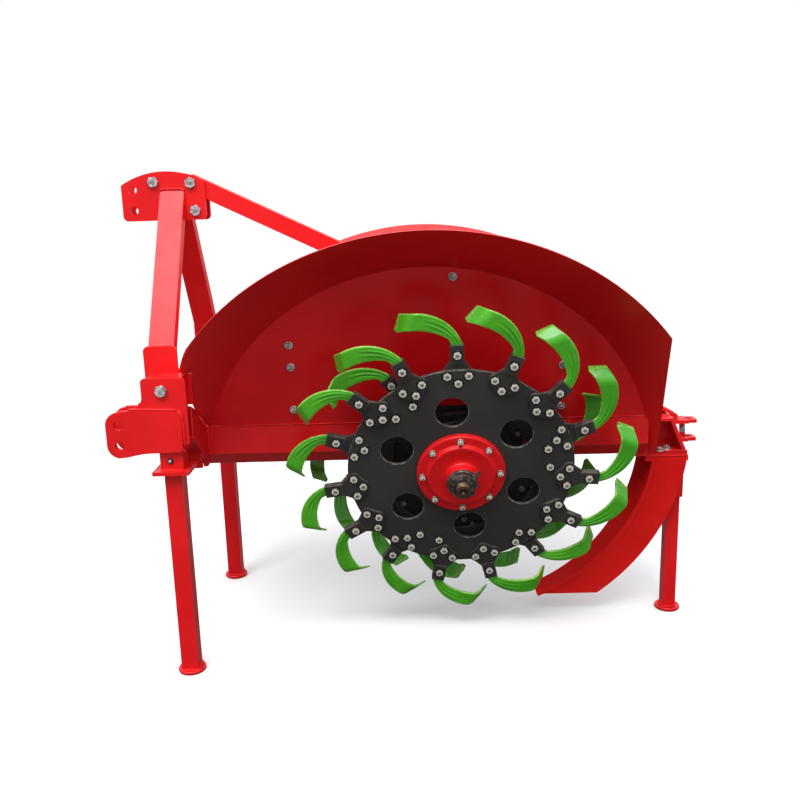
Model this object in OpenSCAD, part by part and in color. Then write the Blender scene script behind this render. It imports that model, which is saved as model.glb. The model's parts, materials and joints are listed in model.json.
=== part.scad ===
// Double-disc ditcher carried on a tractor's three-point linkage.
// Frame: X runs rearwards (the tractor is at -X), Y across, Z up.
// The near side is -Y and the far side is its mirror image.
// Stations along the machine ("sta") are measured from the two front legs;
// everything is then shifted so that the origin lies on the floor, mid-length.

/* [Discs] */
// Lean of each disc, top outwards, degrees
disc_tilt = 16.6; // [15:0.1:18]
// Station of the disc centres
disc_sta = 989; // [970:1:1010]
// Half distance between the disc centres
disc_off = 300; // [290:1:320]
// Height of the disc centres
disc_h = 695; // [690:1:710]
// Radius of the plain disc
disc_r = 404; // [398:1:408]
// Thickness of the disc
disc_t = 12; // [10:1:14]
// Radius of the circle of round windows
window_pcr = 244; // [235:1:255]
// Radius of one window
window_r = 57; // [45:1:60]
// Angle of the first window, degrees
window_ang = 37.8; // [0:0.1:60]
// How far the far rotor stands turned on from the near one, degrees
far_turn = 17; // [0:0.5:24]

/* [Teeth] */
// Number of outer teeth
tooth_n = 15; // [15:15:15]
// Angle of the first outer tooth, degrees
tooth_ang = 91.9; // [80:0.1:100]
// Radius of the lug bolts of the outer teeth
lug_bolt_r = 455; // [452:1:458]
// Thickness of a tooth
tooth_t = 10; // [8:0.5:11]
// Width of a tooth's shank
shank_w = 34; // [32:1:42]
// Fold of the tooth tips, degrees
tip_fold = 52; // [45:1:60]
// Depth of the inner teeth behind the disc
inner_back = 100; // [96:1:104]
// Radius of the lug bolts of the inner teeth
inner_bolt_r = 384; // [380:1:390]
// Angle of the first inner tooth, degrees
inner_ang = 128.5; // [126:0.1:130]

/* [Hub] */
// Radius of the red hub flange
hub_r = 158; // [150:1:165]
// Radius of the hub's bolt circle
hub_bolt_pcr = 138; // [130:1:140]
// Radius of the spindle
spindle_r = 30; // [28:1:34]
// Running clearance of the spindle, on the radius
spindle_play = 0.05; // [0.02:0.01:0.09]
// Radius of the bearing housing
housing_r = 88; // [80:1:92]

/* [Beam] */
// Half width of the main beam
beam_half = 165; // [160:1:168]
// Height of the beam's top
beam_top = 847; // [840:1:850]
// Height of the fold in the beam's side
beam_fold = 739; // [735:1:745]
// Height of the beam's underside
beam_low = 690; // [685:1:695]
// Half width of the beam's underside
beam_low_half = 120; // [110:1:125]
// Station of the beam's front end
beam_front = -45; // [-50:1:-40]
// Station of the beam's rear end
beam_rear = 1690; // [1680:1:1695]
// Wall of the beam
beam_wall = 10; // [8:1:12]

/* [Linkage] */
// Half distance between the centres of the two link brackets
link_half = 410; // [405:1:415]
// Clear gap between the two cheeks of a link bracket
link_gap = 72; // [70:1:74]
// Thickness of the cheeks
cheek_t = 12; // [10:1:14]
// Station of the lower and top link holes
link_sta = -162; // [-170:1:-155]
// Radius of the lower link holes
lower_bore_r = 16; // [14.3:0.1:16.5]
// Height of the upper one of the two lower link holes
lower_hi = 929; // [925:1:935]
// Height of the lower one of the two lower link holes
lower_lo = 860; // [855:1:865]
// Radius of the top link holes
top_bore_r = 15.5; // [12.8:0.1:16]
// Height of the upper top link hole
top_hi = 1704; // [1700:1:1710]
// Height of the lower top link hole
top_lo = 1630; // [1626:1:1640]
// Half distance between the inner faces of the top plates
top_half = 26; // [26:1:28]

/* [Mast] */
// Width of a mast leg along the machine
mast_w = 87; // [80:1:90]
// Depth of a mast leg
mast_d = 42; // [40:1:46]
// Height of the mast feet
foot_top = 1085; // [1080:1:1095]
// Wall of the mast legs and the brace
mast_wall = 5; // [4:1:7]
// Depth of the mast brace
brace_d = 62; // [58:1:66]

/* [Shields] */
// Distance of a shield behind its disc
shield_back = 173; // [170:1:178]
// Radius of the crease between plate and rim
shield_r = 841; // [836:1:848]
// How far the flared rim stands out, along the axis and along the radius
rim_reach = 177; // [170:1:180]
// Sheet thickness
sheet_t = 5; // [4:0.5:6]

/* [Legs] */
// Width of a front leg's square tube
leg_w = 60; // [56:1:61]
// Width of the rear leg's square tube
rear_leg_w = 50; // [46:1:51]
// Station of the rear leg
rear_leg_sta = 1838; // [1836:1:1840]
// Radius of the round feet
foot_r = 46; // [42:1:50]
// Height of a front leg's upper end
front_leg_top = 858; // [850:1:864]
// Height of the rear leg's upper end
rear_leg_top = 500; // [496:1:504]

/* [Hidden] */
$fn = 64;
x_front = -216;
x_back = 1915;
x_mid = (x_front + x_back) / 2;
red = [0.72, 0.05, 0.06];
black = [0.08, 0.08, 0.085];
green = [0.17, 0.45, 0.08];
steel = [0.62, 0.62, 0.60];

// Turn of the rotor that is being drawn.
$turn = 0;

// ---------------------------------------------------------------- helpers

// Shifts a piece drawn at its station to the machine's own origin.
module place() translate([-x_mid, 0, 0]) children();
// The far side is the near side mirrored.
module far() mirror([0, 1, 0]) children();
// Frame of the near rotor: x rearwards, y up in the disc's plane, z outwards.
module rotor_frame()
  translate([disc_sta, -disc_off, disc_h]) rotate([90 + disc_tilt, 0, 0]) children();
// Outline in (station, height), thickened from y_lo to y_hi.
module slab_y(y_lo, y_hi)
  translate([0, y_hi, 0]) rotate([90, 0, 0]) linear_extrude(y_hi - y_lo) children();
// Outline in (y, height), thickened from x_lo to x_hi.
module slab_x(x_lo, x_hi)
  translate([x_lo, 0, 0]) rotate([90, 0, 90]) linear_extrude(x_hi - x_lo) children();
// Box between two corners.
module box(lo, hi) translate(lo) cube(hi - lo);
// Square tube standing on the XY plane, centred on the axis.
module tube(w, d, wall, h) difference() {
  translate([-w / 2, -d / 2, 0]) cube([w, d, h]);
  translate([-w / 2 + wall, -d / 2 + wall, -1]) cube([w - 2 * wall, d - 2 * wall, h + 2]);
}
// Rectangle with rounded corners, from a corner to the opposite one.
module round_rect(lo, hi, r) {
  translate([lo[0] + r, lo[1]]) square([hi[0] - lo[0] - 2 * r, hi[1] - lo[1]]);
  translate([lo[0], lo[1] + r]) square([hi[0] - lo[0], hi[1] - lo[1] - 2 * r]);
  for (x = [lo[0] + r, hi[0] - r], y = [lo[1] + r, hi[1] - r]) translate([x, y]) circle(r);
}

// ---------------------------------------------------------------- frame

module beam_outline(s)
  polygon([[-beam_half + s, beam_top - s], [-beam_half + s, beam_fold + 0.4 * s],
           [-beam_low_half + 0.4 * s, beam_low + s], [beam_low_half - 0.4 * s, beam_low + s],
           [beam_half - s, beam_fold + 0.4 * s], [beam_half - s, beam_top - s]]);

module main_beam() color(red) place() difference() {
  slab_x(beam_front, beam_rear) beam_outline(0);
  slab_x(beam_front + beam_wall, beam_rear - beam_wall) beam_outline(beam_wall);
  // openings for the bearing housings and for the input bearing
  housing_hole();
  far() housing_hole();
  translate([beam_front - 5, 0, input_h()]) rotate([0, 90, 0]) cylinder(r = 40, h = 30);
}
module housing_hole() rotor_frame() translate([0, 0, -195]) cylinder(r = housing_r, h = 160);
// Height at which the two spindle axes meet, on the machine's middle plane.
function input_h() = disc_h + disc_off * tan(disc_tilt);

module gearbox() color(black) place()
  box([disc_sta - 120, -80, beam_low + beam_wall], [disc_sta + 120, 80, beam_top - beam_wall]);

// Cover over the beam round the gears: ends, half width, lower edge, top and wall
case_x = [715, 1224];
case_half = 171;
case_low = 700;
case_top = 905;
case_wall = 8;
module gear_case() color(black) place() difference() {
  box([case_x[0], -case_half, case_low], [case_x[1], case_half, case_top]);
  box([case_x[0] + case_wall, -case_half + case_wall, beam_top - 5],
      [case_x[1] - case_wall, case_half - case_wall, case_top - case_wall]);
  slab_x(case_x[0] - 1, case_x[1] + 1) beam_outline(-0.3);
  housing_hole();
  far() housing_hole();
}

module input_bearing() color(black) place() translate([0, 0, input_h()]) rotate([0, 90, 0])
  difference() {
    union() {
      translate([0, 0, beam_front - 24]) cylinder(r = 56, h = 24);
      translate([0, 0, beam_front - 40]) cylinder(r = 36, h = 20);
      translate([0, 0, beam_front - 1]) cylinder(r = 40, h = 16);
    }
    translate([0, 0, beam_front - 50]) cylinder(r = stub_r + spindle_play, h = 80);
  }
stub_r = 17.5;
module input_stub() color(steel) place() translate([0, 0, input_h()]) rotate([0, 90, 0]) union() {
  translate([0, 0, beam_front - 120]) cylinder(r = stub_r, h = 132);
  translate([0, 0, beam_front - 46]) cylinder(r = 22, h = 5.8);
}

// Bearing housing between beam and disc, along the spindle.
module bearing_housing() color(black) place() rotor_frame() difference() {
  union() {
    translate([0, 0, -188]) cylinder(r = housing_r, h = 160);
    translate([0, 0, -52]) cylinder(r = 112, h = 20);
    translate([0, 0, -84]) cylinder(r = 196, h = 14);
    translate([0, 0, -72]) cylinder(r = 168, h = 8);
  }
  translate([0, 0, -200]) cylinder(r = spindle_r + spindle_play, h = 200);
}
module near_bearing_housing() bearing_housing();
module far_bearing_housing() far() bearing_housing();

// Sloped box arm from a link bracket down to the beam.
arm_x = [-45, 60];
module arm_outline(s)
  polygon([[-link_in(), 968 - s], [-link_in(), 852 + s], [-beam_half, beam_low + 14 + s],
           [-beam_half, beam_top - 1 - s]]);
// Inner face of a bracket's inner cheek.
function link_in() = link_half - link_gap / 2 - cheek_t;
function link_out() = link_half + link_gap / 2 + cheek_t;
module near_arm() color(red) place() difference() {
  slab_x(arm_x[0], arm_x[1]) arm_outline(0);
  slab_x(arm_x[0] + 8, arm_x[1] - 8) arm_outline(11);
}
module far_arm() far() near_arm();

// Link bracket: two cheeks with two link holes each, joined in front of and behind the leg.
lobe_r = 44;
module cheek_outline() difference() {
  union() {
    translate([link_sta, lower_hi]) circle(lobe_r);
    translate([link_sta, lower_lo]) circle(lobe_r);
    translate([link_sta - lobe_r, lower_lo]) square([2 * lobe_r, lower_hi - lower_lo]);
    translate([link_sta, 830]) square([50 - link_sta, 147]);
  }
  translate([link_sta, lower_hi]) circle(lower_bore_r);
  translate([link_sta, lower_lo]) circle(lower_bore_r);
}
module near_link_bracket() color(red) place() union() {
  slab_y(-link_out(), -link_out() + cheek_t) cheek_outline();
  slab_y(-link_in() - cheek_t, -link_in()) cheek_outline();
  box([38, -link_out() + cheek_t - 1, 830], [50, -link_in() - cheek_t + 1, 977]);
  box([-62, -link_out() + cheek_t - 1, 830], [-50, -link_in() - cheek_t + 1, 977]);
}
module far_link_bracket() far() near_link_bracket();

// Mast foot: box on top of the bracket that carries the mast leg.
foot_x = [-78, 71];
foot_fillet = 40;
module foot_outline() {
  translate([foot_x[0], 977]) square([foot_x[1] - foot_x[0], foot_top - 977 - 20]);
  round_rect([foot_x[0], 1020], [foot_x[1], foot_top], 14);
  difference() {
    translate([foot_x[0] - foot_fillet, 977]) square([foot_fillet + 1, foot_fillet + 7]);
    translate([foot_x[0] - foot_fillet, 984 + foot_fillet]) circle(foot_fillet);
  }
}
module near_mast_foot() color(red) place() union() {
  slab_y(-link_out(), -link_out() + cheek_t) foot_outline();
  slab_y(-link_in() - cheek_t, -link_in()) foot_outline();
  box([foot_x[0] + 15, -link_out() + 1, foot_top - 12], [foot_x[1] - 15, -link_in() - 1, foot_top]);
}
module far_mast_foot() far() near_mast_foot();

// Mast leg: square tube leaning in from its foot to the top plate.
mast_lo = [-31, -372, 1085];
mast_hi = [-31, -40, 1654];
// Strap plate at its lower end, bolted to the inside of the foot: lower and upper corner
strap_lo = [-89, 990];
strap_hi = [25, 1178];
module mast_leg() {
  d = mast_hi - mast_lo;
  len = norm(d);
  intersection() {
    translate(mast_lo) rotate([0, acos(d[2] / len), atan2(d[1], d[0])]) translate([0, 0, -80])
      tube(mast_d, mast_w, mast_wall, len + 200);
    box([-200, -link_in() + cheek_t - 1, 900], [200, -top_half - cheek_t, 1800]);
  }
  slab_y(-link_in(), -link_in() + cheek_t) round_rect(strap_lo, strap_hi, 18);
}
module near_mast_leg() color(red) place() mast_leg();
module far_mast_leg() far() near_mast_leg();

// Top plate with the two top link holes.
top_x = [-216, 88];
top_hole_x = -175;
module top_outline() difference() {
  intersection() {
    translate([-55, 1467]) circle(r = 300, $fn = 128);
    round_rect([top_x[0], 1593], [top_x[1], 1790], 18);
  }
  translate([top_hole_x, top_hi]) circle(top_bore_r);
  translate([top_hole_x, top_lo]) circle(top_bore_r);
}
module near_top_plate() color(red) place() slab_y(-top_half - cheek_t, -top_half) top_outline();
module far_top_plate() far() near_top_plate();

// Brace from the top plates down to the rear bracket.
brace_at = [87, 1700];
brace_slope = 25.9;
brace_x = [42, 1745];
module brace_bar(d, half, x_lo, x_hi) intersection() {
  translate([brace_at[0], 0, brace_at[1]]) rotate([0, brace_slope, 0])
    box([-150, -half, -d / 2], [2100, half, d / 2]);
  box([x_lo, -100, 600], [x_hi, 100, 1800]);
}
module mast_brace() color(red) place() difference() {
  brace_bar(brace_d, top_half, brace_x[0], brace_x[1]);
  brace_bar(brace_d - 2 * mast_wall, top_half - mast_wall, brace_x[0] - 10, brace_x[1] - 10);
}
// Height of the brace's centre line at a station.
function brace_z(x) = brace_at[1] - (x - brace_at[0]) * tan(brace_slope);

// ---------------------------------------------------------------- shields

shield_c = [-113, -130];
shield_foot = 108;
// sloped cut at the front end of the rim: angle, height at the crease, and rounding of its corner
rim_cut = 61;
rim_cut_y = 239;
rim_round = 170;
// upright cut at the rear end of the rim: a point on it and its two turns; and the rim's lowest height
rim_end = [1707, -301, 993];
rim_end_turn = [0, 4.8, -17.5];
rim_low = 692;
// Outline, in (radius up the plate, height off it), that is cut away at the front end.
module rim_front_cut() {
  e = rim_reach + 3;
  k = [rim_cut_y + tan(rim_cut) * e, e];
  r = rim_round * tan(90 - (90 - rim_cut) / 2);
  polygon([[-1500, -300], [rim_cut_y - tan(rim_cut) * 300, -300], [rim_cut_y + tan(rim_cut) * 300, 300], [-1500, 300]]);
  difference() {
    polygon([k + [rim_round, 0], k + [rim_round, 60], k + [-60, 60], k - rim_round * [sin(rim_cut), cos(rim_cut)]]);
    translate(k + [rim_round, -r]) circle(r, $fn = 128);
  }
}
module shield() color(red) place() difference() {
  rotor_frame() translate([shield_c[0], shield_c[1], -shield_back]) union() {
    // plate
    translate([0, 0, -sheet_t]) linear_extrude(sheet_t) intersection() {
      circle(r = shield_r + 2, $fn = 160);
      translate([-1000, shield_foot - shield_c[1]]) square([2000, 1000]);
    }
    // flared rim
    difference() {
      rotate_extrude(angle = 172, $fn = 160)
        polygon([[shield_r, -sheet_t], [shield_r + rim_reach, rim_reach - sheet_t],
                 [shield_r + rim_reach, rim_reach + 0.42 * sheet_t], [shield_r - 1.42 * sheet_t, 0],
                 [shield_r - 1.42 * sheet_t, -sheet_t]]);
      translate([-1500, 0, 0]) rotate([90, 0, 90]) linear_extrude(1500) rim_front_cut();
    }
  }
  // rear end and lower edge of the rim, clear of the beam
  translate(rim_end) rotate(rim_end_turn) translate([0, -1500, -1500]) cube([800, 3000, 3000]);
  box([1400, -800, 0], [2000, 200, rim_low]);
  box([beam_front, -beam_half - 0.5, beam_low - 5], [beam_rear + 0.4, beam_half, beam_top + 0.5]);
  // room for the gear case
  box([case_x[0] - 2, -400, beam_low], [case_x[1] + 2, 0, case_top + 2]);
  // room for the mast foot and leg
  box([-300, -700, 500], [foot_x[1] + 1, -350, foot_top + 1]);
  box([-300, -700, 500], [42, 0, 1400]);
}
module near_shield() shield();
module far_shield() far() shield();

// Flat stays that hold a shield from behind: [station from the disc, width, top]
stay_table = [[-611, 50, 470], [362, 50, 430]];
stay_foot = 106;
module shield_stays() color(red) place() rotor_frame()
  for (s = stay_table)
    translate([s[0] - s[1] / 2, stay_foot, -shield_back - sheet_t - 12]) cube([s[1], s[2] - stay_foot, 12]);
module near_shield_stays() shield_stays();
module far_shield_stays() far() shield_stays();

// Cross tube between the tops of the two shields, on a post on the brace.
tie_x = 958;
module shield_tie() color(red) place() union() {
  tie_z = 1372;
  translate([tie_x, 0, tie_z]) rotate([90, 0, 0])
    cylinder(r = 20, h = 2 * (tie_end(tie_z) - 6), center = true);
  box([tie_x - 20, -20, brace_z(tie_x) + 46], [tie_x + 20, 20, tie_z - 5]);
}
// Half width between the shields at a height.
function tie_end(z) = disc_off + (z - disc_h) * tan(disc_tilt) - (shield_back + sheet_t) / cos(disc_tilt) - 0.5;

// ---------------------------------------------------------------- rear end

floor_low = 672;
floor_half = 105;
box_top = 818;
clevis_x = 1888;
// Rear bracket: a box open at both sides, with a middle web and a drawbar clevis.
module rear_bracket() color(red) place() difference() {
  union() {
    box([1610, -floor_half, floor_low], [1858, floor_half, beam_low]);
    box([beam_rear + 0.5, -floor_half, beam_low - 1], [beam_rear + 12, floor_half, box_top]);
    box([beam_rear + 0.5, -floor_half, box_top - 12], [1800, floor_half, box_top]);
    slab_y(-floor_half, floor_half) polygon([[1854, beam_low - 1], [1840, beam_low - 1], [1786, box_top], [1800, box_top]]);
    slab_y(-7, 7) polygon([[beam_rear + 5, beam_low - 1], [1846, beam_low - 1], [1792, box_top - 6], [beam_rear + 5, box_top - 6]]);
    slab_y(-7, 7) polygon([[beam_rear + 0.5, box_top - 6], [1796, box_top - 6], [brace_x[1] + 0.5, 848],
      [brace_x[1] + 0.5, brace_z(brace_x[1]) - brace_d / 2 / cos(brace_slope) - 0.5],
      [beam_rear + 0.5, brace_z(beam_rear + 0.5) - brace_d / 2 / cos(brace_slope) - 0.5]]);
    // bent plate from the brace's end to the clevis
    slab_y(-35, 35) polygon([[brace_x[1] + 0.5, 866], [1838, 813], [1838, 785], [1824, 785], [1824, 806], [brace_x[1] + 0.5, 852]]);
    for (l = clevis_lugs) translate([0, 0, l[1]]) linear_extrude(14) {
      translate([l[0], -36]) square([clevis_x - l[0] - 6, 72]);
      translate([clevis_x - 10, -26]) square([x_back - clevis_x + 10, 52]);
    }
  }
  translate([clevis_x, 0, 690]) cylinder(r = 13, h = 120);
}
// Clevis lugs: [front end, underside]
clevis_lugs = [[1836, 706], [1782, 777]];

// Curved shoe that follows the discs and clears the trench.
shoe_c = [1040, 740];
shoe_in = 692;
shoe_out = 822;
shoe_low = 90;
// thickness of its front plate and the angle, off the vertical, at which that ends
shoe_face = 18;
shoe_end = 22;
module shoe_wedge(s, z_lo, z_hi) slab_x(1250, 1950)
  polygon([[-105 + s, z_hi], [-45 + s, z_lo], [45 - s, z_lo], [105 - s, z_hi]]);
module shoe_ring(r_in, r_out) slab_y(-150, 150) translate(shoe_c) difference() {
  circle(r = r_out, $fn = 160);
  circle(r = r_in, $fn = 160);
  polygon([[0, 0], [1500 * sin(shoe_end), -1500 * cos(shoe_end)], [-1500, -1500], [-1500, 1500], [0, 1500]]);
}
module trench_shoe() color(red) place() union() {
  difference() {
    intersection() { shoe_ring(shoe_in, shoe_out); shoe_wedge(0, shoe_low, floor_low - 19); }
    intersection() { shoe_ring(shoe_in + 8, shoe_out + 100); shoe_wedge(8, shoe_low + 8, floor_low + 5); }
  }
  intersection() { shoe_ring(shoe_in, shoe_in + shoe_face); shoe_wedge(0, shoe_low - 50, floor_low - 19); }
  box([1700, -floor_half, floor_low - 20], [1862, floor_half, floor_low]);
}

// ---------------------------------------------------------------- legs

// Sockets: [x, y, low end, high end, inside width, wall, collar half width]
module socket(x, y, lo, hi, inside, wall, collar) translate([x, y, 0]) difference() {
  union() {
    translate([-inside / 2 - wall, -inside / 2 - wall, lo]) cube([inside + 2 * wall, inside + 2 * wall, hi - lo]);
    translate([-collar, -collar, lo]) cube([2 * collar, 2 * collar, 14]);
  }
  translate([-inside / 2, -inside / 2, lo - 1]) cube([inside, inside, hi - lo + 2]);
}
module near_leg_socket() color(red) place() socket(0, -link_half, 752, 829.5, leg_w + 4, 6, 62);
module far_leg_socket() far() near_leg_socket();
module rear_leg_socket() color(red) place() socket(rear_leg_sta, 0, 480, floor_low - 20.5, rear_leg_w + 4, 6, 31);

module leg(x, y, w, top) translate([x, y, 0]) union() {
  cylinder(r = foot_r, h = 12);
  translate([0, 0, 11]) tube(w, w, 5, top - 11);
}
module near_leg() color(red) place() leg(0, -link_half, leg_w, front_leg_top);
module far_leg() far() near_leg();
module rear_leg() color(red) place() leg(rear_leg_sta, 0, rear_leg_w, rear_leg_top);

// ---------------------------------------------------------------- rotors

module disc() color(black) place() rotor_frame() rotate($turn) difference() {
  cylinder(r = disc_r, h = disc_t, center = true, $fn = 128);
  for (k = [0:5]) rotate(window_ang + 60 * k) translate([window_pcr, 0, -20]) cylinder(r = window_r, h = 40);
}
module near_disc() disc();
module far_disc() { $turn = far_turn; far() disc(); }

// Hub profile: [radius, height above the disc's middle plane]
module hub() color(red) place() rotor_frame() rotate_extrude()
  polygon([[0, disc_t / 2], [hub_r, disc_t / 2], [hub_r, 28], [124, 30], [114, 42], [60, 44], [48, 50], [45, 78], [0, 78]]);
module near_hub() hub();
module far_hub() far() hub();

module spindle() color(steel) place() rotor_frame() union() {
  translate([0, 0, -180]) cylinder(r = spindle_r, h = 180 - disc_t / 2);
  translate([0, 0, -22]) cylinder(r = 105, h = 22 - disc_t / 2);
}
module near_spindle() spindle();
module far_spindle() far() spindle();

module spindle_nut() color(black) place() rotor_frame() union() {
  translate([0, 0, 78]) cylinder(r = 54, h = 5);
  translate([0, 0, 82]) rotate(12) cylinder(r = 52, h = 30, $fn = 6);
  translate([0, 0, 100]) cylinder(r = 27, h = 35);
}
module near_spindle_nut() spindle_nut();
module far_spindle_nut() far() spindle_nut();

// Tooth holder: three ears bolted to the disc and a square lug.
// Ear places: [across, radius]
ears = [[-36, 381], [36, 381], [0, 353]];
lug_lo = lug_bolt_r - 31;
lug_hi = lug_bolt_r + 37;
lug_w = 46;
lug_t = 26;
module holder() difference() {
  union() {
    linear_extrude(12, center = true) {
      for (e = ears) translate(e) circle(21);
      polygon([[-lug_w / 2, lug_lo + 10], [-48, 396], [-46, 364], [-14, 338], [14, 338], [46, 364], [48, 396],
               [lug_w / 2, lug_lo + 10]]);
    }
    translate([-lug_w / 2, lug_lo, -lug_t / 2]) cube([lug_w, lug_hi - lug_lo, lug_t]);
  }
  // pocket for the tooth's shank
  translate([-shank_w / 2 - 1, lug_lo + 8, -tooth_t / 2 - 1]) cube([shank_w + 2, 200, tooth_t + 2]);
}
// Every third outer holder sits behind the disc.
function is_back(k) = k % 3 == 0;
function lug_z(k) = is_back(k) ? -12 : 12;
module holders(back) for (k = [0:tooth_n - 1]) if (is_back(k) == back)
  rotate(tooth_ang - 90 - k * 360 / tooth_n) translate([0, 0, lug_z(k)]) holder();

// Long holder of an inner tooth, on two stand-offs behind the disc.
module inner_holder() difference() {
  union() {
    for (s = [-1, 1]) translate([s * 38, 314, -inner_back - 6]) cylinder(r = 15, h = inner_back + 6 - disc_t / 2);
    translate([0, 0, -inner_back]) linear_extrude(12, center = true)
      polygon([[-58, 294], [58, 294], [54, 332], [24, 356], [24, inner_bolt_r], [-24, inner_bolt_r], [-24, 356], [-54, 332]]);
    translate([-23, inner_bolt_r - 27, -inner_back - 13]) cube([46, 58, 26]);
  }
  translate([-shank_w / 2 - 1, inner_bolt_r - 19, -inner_back - tooth_t / 2 - 1]) cube([shank_w + 2, 200, tooth_t + 2]);
}
module inner_holders() for (k = [0:2]) rotate(inner_ang - 90 + 120 * k) inner_holder();

// Ring behind the inner holders that ties the three of them together: inner and outer radius, thickness
ring_r = [240, 350];
ring_t = 8;
module carrier_ring() translate([0, 0, -inner_back - ring_t]) difference() {
  cylinder(r = ring_r[1], h = ring_t, $fn = 128);
  translate([0, 0, -1]) cylinder(r = ring_r[0], h = ring_t + 2, $fn = 128);
}

module near_front_holders() color(black) place() rotor_frame() rotate($turn) holders(false);
module far_front_holders() { $turn = far_turn; far() near_front_holders(); }
module near_back_holders() color(black) place() rotor_frame() rotate($turn) {
  holders(true);
  inner_holders();
  carrier_ring();
}
module far_back_holders() { $turn = far_turn; far() near_back_holders(); }

// Tooth: a shank that hooks round in the disc's plane and a tip folded out of it.
// r_in: inner end of the shank, r0: where the hook starts, fold: turn of the tip
// Outer and inner edge of the hook: [centre across, centre above r0, radius]
hook_out = [-135, -51, 160];
hook_in = [-137, -138, 186];
crease = [[-142, 108.5], [-163, 47]];
// Tip from the crease outwards: [along the crease, away from it]
tip_shape = [[0, 0], [65, 0], [90, -38], [89, -56], [28, -56]];
module tooth(r_in, r0, fold) {
  c = crease[1] - crease[0];
  linear_extrude(tooth_t, center = true) union() {
    translate([-shank_w / 2, r_in]) square([shank_w, r0 - r_in + 4]);
    intersection() {
      difference() {
        translate([hook_out[0], r0 + hook_out[1]]) circle(hook_out[2], $fn = 128);
        translate([hook_in[0], r0 + hook_in[1]]) circle(hook_in[2], $fn = 128);
      }
      translate([0, r0]) polygon([[60, -5], [60, 200], crease[0] - 0.6 * c, crease[1] + 0.85 * c]);
    }
  }
  translate([crease[0][0], r0 + crease[0][1], 0]) rotate(atan2(c[1], c[0])) {
    rotate([fold, 0, 0]) linear_extrude(tooth_t, center = true) polygon(tip_shape);
    rotate([0, 90, 0]) cylinder(r = tooth_t / 2 + 0.3, h = norm(c));
  }
}
module teeth() {
  for (k = [0:tooth_n - 1]) rotate(tooth_ang - 90 - k * 360 / tooth_n) translate([0, 0, lug_z(k)])
    tooth(lug_lo + 10, lug_hi + 8, tip_fold);
  for (k = [0:2]) rotate(inner_ang - 90 + 120 * k) translate([0, 0, -inner_back])
    tooth(inner_bolt_r - 17, inner_bolt_r + 40, -tip_fold);
}
module near_teeth() color(green) place() rotor_frame() rotate($turn) teeth();
module far_teeth() { $turn = far_turn; far() near_teeth(); }

// ---------------------------------------------------------------- assembly

main_beam();
gearbox();
gear_case();
input_bearing();
input_stub();
near_bearing_housing();
far_bearing_housing();
near_arm();
far_arm();
near_link_bracket();
far_link_bracket();
near_mast_foot();
far_mast_foot();
near_mast_leg();
far_mast_leg();
near_top_plate();
far_top_plate();
mast_brace();
near_shield();
far_shield();
near_shield_stays();
far_shield_stays();
shield_tie();
rear_bracket();
trench_shoe();
near_leg_socket();
far_leg_socket();
rear_leg_socket();
near_leg();
far_leg();
rear_leg();
near_disc();
near_hub();
near_spindle();
near_spindle_nut();
near_front_holders();
near_back_holders();
near_teeth();
far_disc();
far_hub();
far_spindle();
far_spindle_nut();
far_front_holders();
far_back_holders();
far_teeth();
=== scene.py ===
# Disc ditcher: looks. Frame: metres, X rearwards, Y to the far side, Z up.
# Sizes below are millimetres at the part's stations; X_MID moves a station to the model's origin.
import bpy, bmesh, json, math, random
from mathutils import Vector, Matrix, noise
from mathutils.geometry import tessellate_polygon


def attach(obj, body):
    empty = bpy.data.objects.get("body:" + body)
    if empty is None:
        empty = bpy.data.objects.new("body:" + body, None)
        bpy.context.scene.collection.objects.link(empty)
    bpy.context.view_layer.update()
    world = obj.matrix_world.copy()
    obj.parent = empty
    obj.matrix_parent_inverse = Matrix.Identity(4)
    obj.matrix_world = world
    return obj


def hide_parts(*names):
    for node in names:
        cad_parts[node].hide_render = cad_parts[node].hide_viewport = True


random.seed(11)
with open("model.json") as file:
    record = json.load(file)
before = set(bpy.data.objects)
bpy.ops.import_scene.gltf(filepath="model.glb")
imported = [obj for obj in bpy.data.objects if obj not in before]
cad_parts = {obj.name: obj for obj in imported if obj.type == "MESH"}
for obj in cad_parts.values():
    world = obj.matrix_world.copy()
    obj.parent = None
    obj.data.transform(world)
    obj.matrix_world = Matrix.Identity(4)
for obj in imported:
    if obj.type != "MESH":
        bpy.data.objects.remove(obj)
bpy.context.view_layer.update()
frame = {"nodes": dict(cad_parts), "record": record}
nodes = frame["nodes"]
X_MID = 849.5
MM = 0.001


def S(x, y, z):
    return Vector(((x - X_MID) * MM, y * MM, z * MM))


# ------------------------------------------------------------------ frames
STATION = Matrix.Translation(Vector((-X_MID * MM, 0, 0))) @ Matrix.Scale(MM, 4)
MIRROR = Matrix.Scale(-1, 4, Vector((0, 1, 0)))
SIDES = {"near": STATION, "far": MIRROR @ STATION}
TILT = math.radians(16.6)
ROTOR_LOCAL = Matrix.Translation(Vector((989, -300, 695))) @ Matrix.Rotation(math.radians(90) + TILT, 4, "X")
ROTOR = {k: m @ ROTOR_LOCAL for k, m in SIDES.items()}
ROTOR_TURN = {"near": 0.0, "far": 17.0}


def frame_at(pos, axis, turn=0.0):
    """Matrix whose z is axis, at pos."""
    q = Vector(axis).normalized().to_track_quat("Z", "Y").to_matrix().to_4x4()
    return Matrix.Translation(Vector(pos)) @ q @ Matrix.Rotation(math.radians(turn), 4, "Z")


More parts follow.
